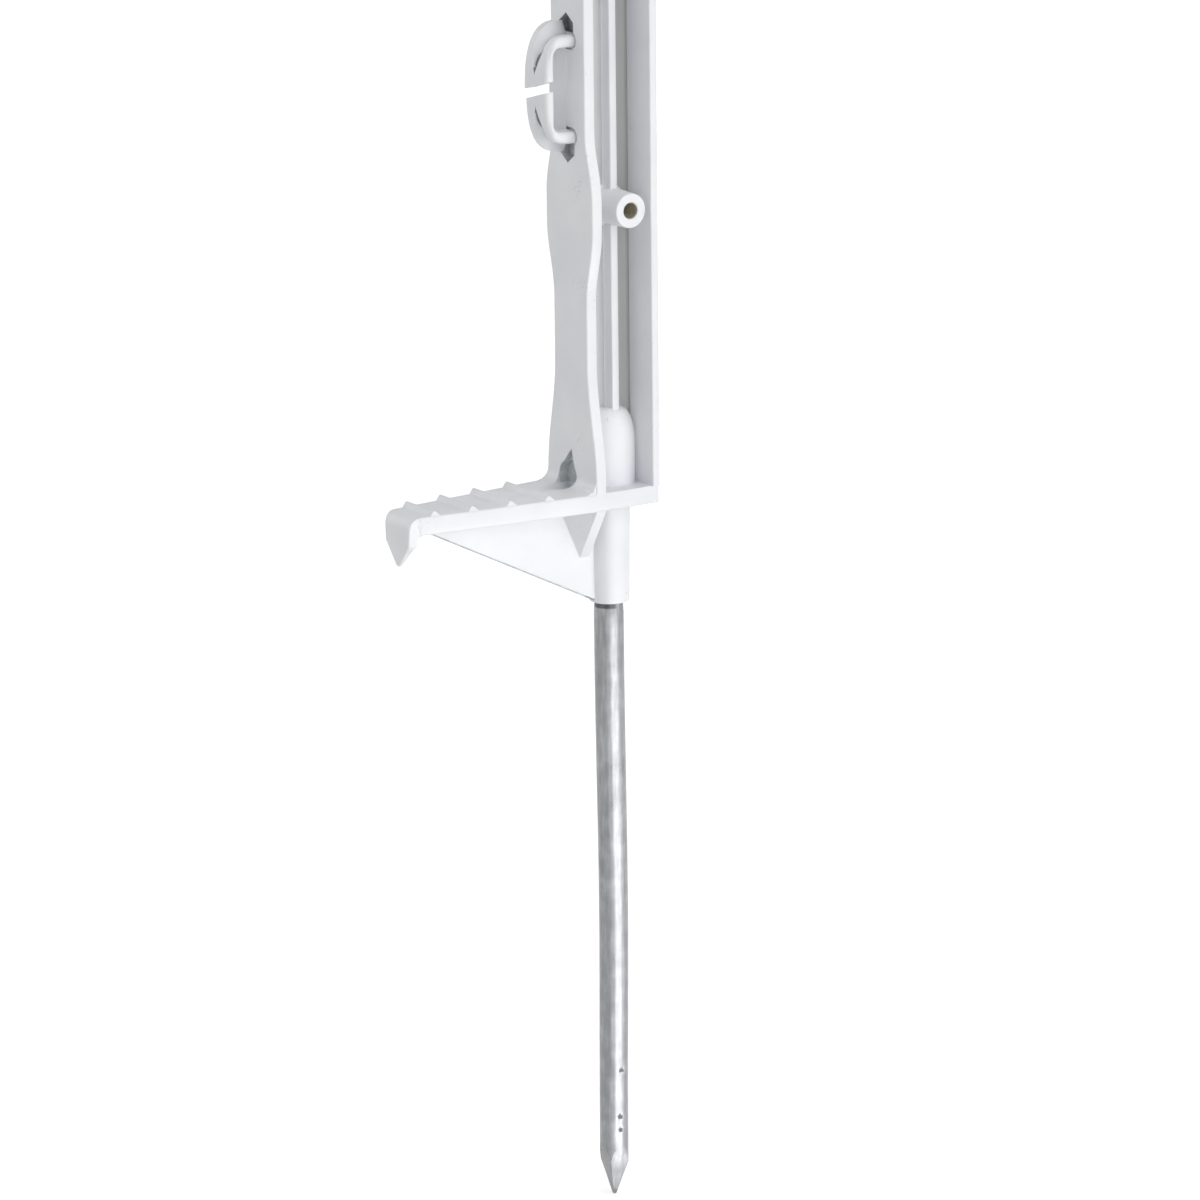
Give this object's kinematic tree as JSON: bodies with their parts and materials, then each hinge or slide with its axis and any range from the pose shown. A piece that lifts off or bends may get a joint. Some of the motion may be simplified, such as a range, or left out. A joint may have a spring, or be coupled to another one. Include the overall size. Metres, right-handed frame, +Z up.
{
  "type": "electric fence post",
  "caption": "Tread-in electric fence post: white moulded I-section stake with tape clips, bored bosses and a ribbed hooked tread on a pointed steel ground spike.",
  "frame": {"origin": "on the spike's axis at the flat underside of the collar, where the ground meets the post", "axes": "+Z up the post, -X towards the tread and the tape clips, Y along the fence line in which the tape runs"},
  "size_m": [0.1102, 0.0376, 1.501],
  "materials": {
    "plastic": "white moulded polypropylene, slightly satin",
    "steel": "hot-dip galvanised, lightly scuffed"
  },
  "bodies": {
    "root": {"spike": "steel", "socket": "plastic", "tread": "plastic", "tread_fillet": "plastic", "tread_grips": "plastic", "hook": "plastic", "gusset": "plastic", "gusset_fins": "plastic", "web": "plastic", "spine_front": "plastic", "spine_rear": "plastic", "back_flange": "plastic", "foot_flange": "plastic", "clip_flange_1": "plastic", "clip_flange_2": "plastic", "clip_flange_3": "plastic", "clip_flange_4": "plastic", "clip_flange_5": "plastic", "clip_flange_6": "plastic", "boss_1": "plastic", "boss_2": "plastic", "boss_3": "plastic", "boss_4": "plastic", "boss_5": "plastic", "boss_6": "plastic", "clip_upper_1": "plastic", "clip_upper_2": "plastic", "clip_upper_3": "plastic", "clip_upper_4": "plastic", "clip_upper_5": "plastic", "clip_upper_6": "plastic", "clip_lower_1": "plastic", "clip_lower_2": "plastic", "clip_lower_3": "plastic", "clip_lower_4": "plastic", "clip_lower_5": "plastic", "clip_lower_6": "plastic", "clip_seat_1": "plastic", "clip_seat_2": "plastic", "clip_seat_3": "plastic", "clip_seat_4": "plastic", "clip_seat_5": "plastic", "clip_seat_6": "plastic"}
  },
  "joints": []
}
